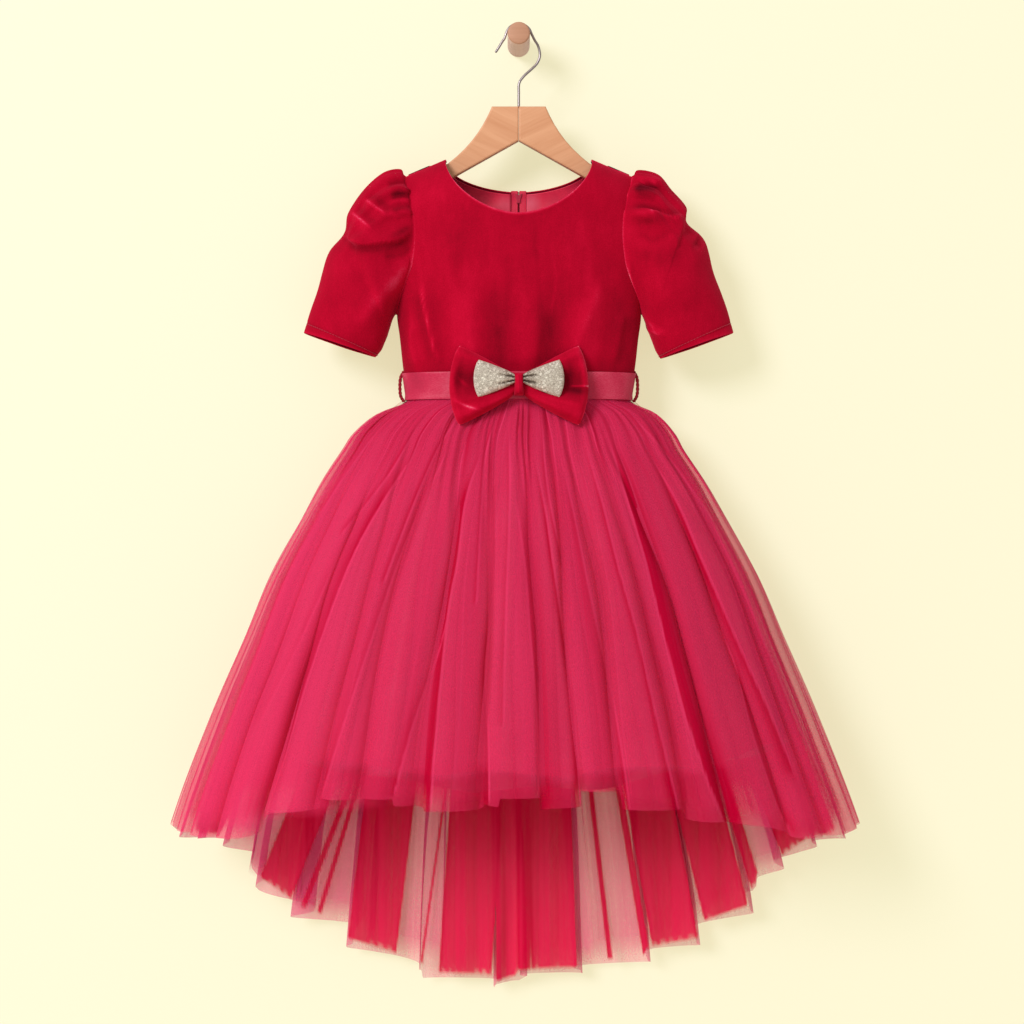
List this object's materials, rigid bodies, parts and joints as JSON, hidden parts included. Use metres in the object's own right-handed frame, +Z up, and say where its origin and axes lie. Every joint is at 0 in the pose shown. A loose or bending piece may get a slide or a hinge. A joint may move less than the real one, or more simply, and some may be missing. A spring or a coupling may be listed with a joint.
{
  "type": "toddler party dress on a hanger",
  "caption": "Velvet and tulle toddler party dress with puff sleeves, belt bow and a high-low skirt, hung on a wooden hanger from a round wall peg.",
  "frame": {"origin": "centre of the wall peg's back face, in the plane of the wall", "axes": "+Z up, -Y out of the wall towards the front of the dress, +X to the wearer's left"},
  "size_m": [0.7215, 0.2259, 1.0182],
  "materials": {
    "velvet": "velvet",
    "tulle": "translucent net",
    "satin": "satin",
    "glitter": "glitter",
    "wood": "satin varnish",
    "wire": "polished"
  },
  "bodies": {
    "root": {"bodice_front": "velvet", "bodice_back_left": "velvet", "bodice_back_right": "velvet", "back_lining_left": "satin", "back_lining_right": "satin", "sleeve_left": "velvet", "sleeve_right": "velvet", "tulle_front": "tulle", "tulle_back": "tulle", "underskirt_front": "satin", "underskirt_back": "satin", "belt": "satin", "belt_loop_left": "velvet", "belt_loop_right": "velvet", "bow_velvet_left": "velvet", "bow_velvet_right": "velvet", "bow_glitter_left": "glitter", "bow_glitter_right": "glitter", "bow_knot": "velvet", "zip_coil": "satin", "zip_tape": "satin", "zip_slider": "wire", "hanger_arm_left": "wood", "hanger_arm_right": "wood", "hanger_hook": "wire", "wall_peg": "wood"},
    "pull": {"zip_pull": "wire"}
  },
  "joints": [
    {"name": "zip_pull_swing", "type": "hinge", "parent": "root", "child": "pull", "pos_m": [0, -0.00432, -0.1659], "axis": [1, 0, 0], "range_deg": [0, 150]}
  ]
}
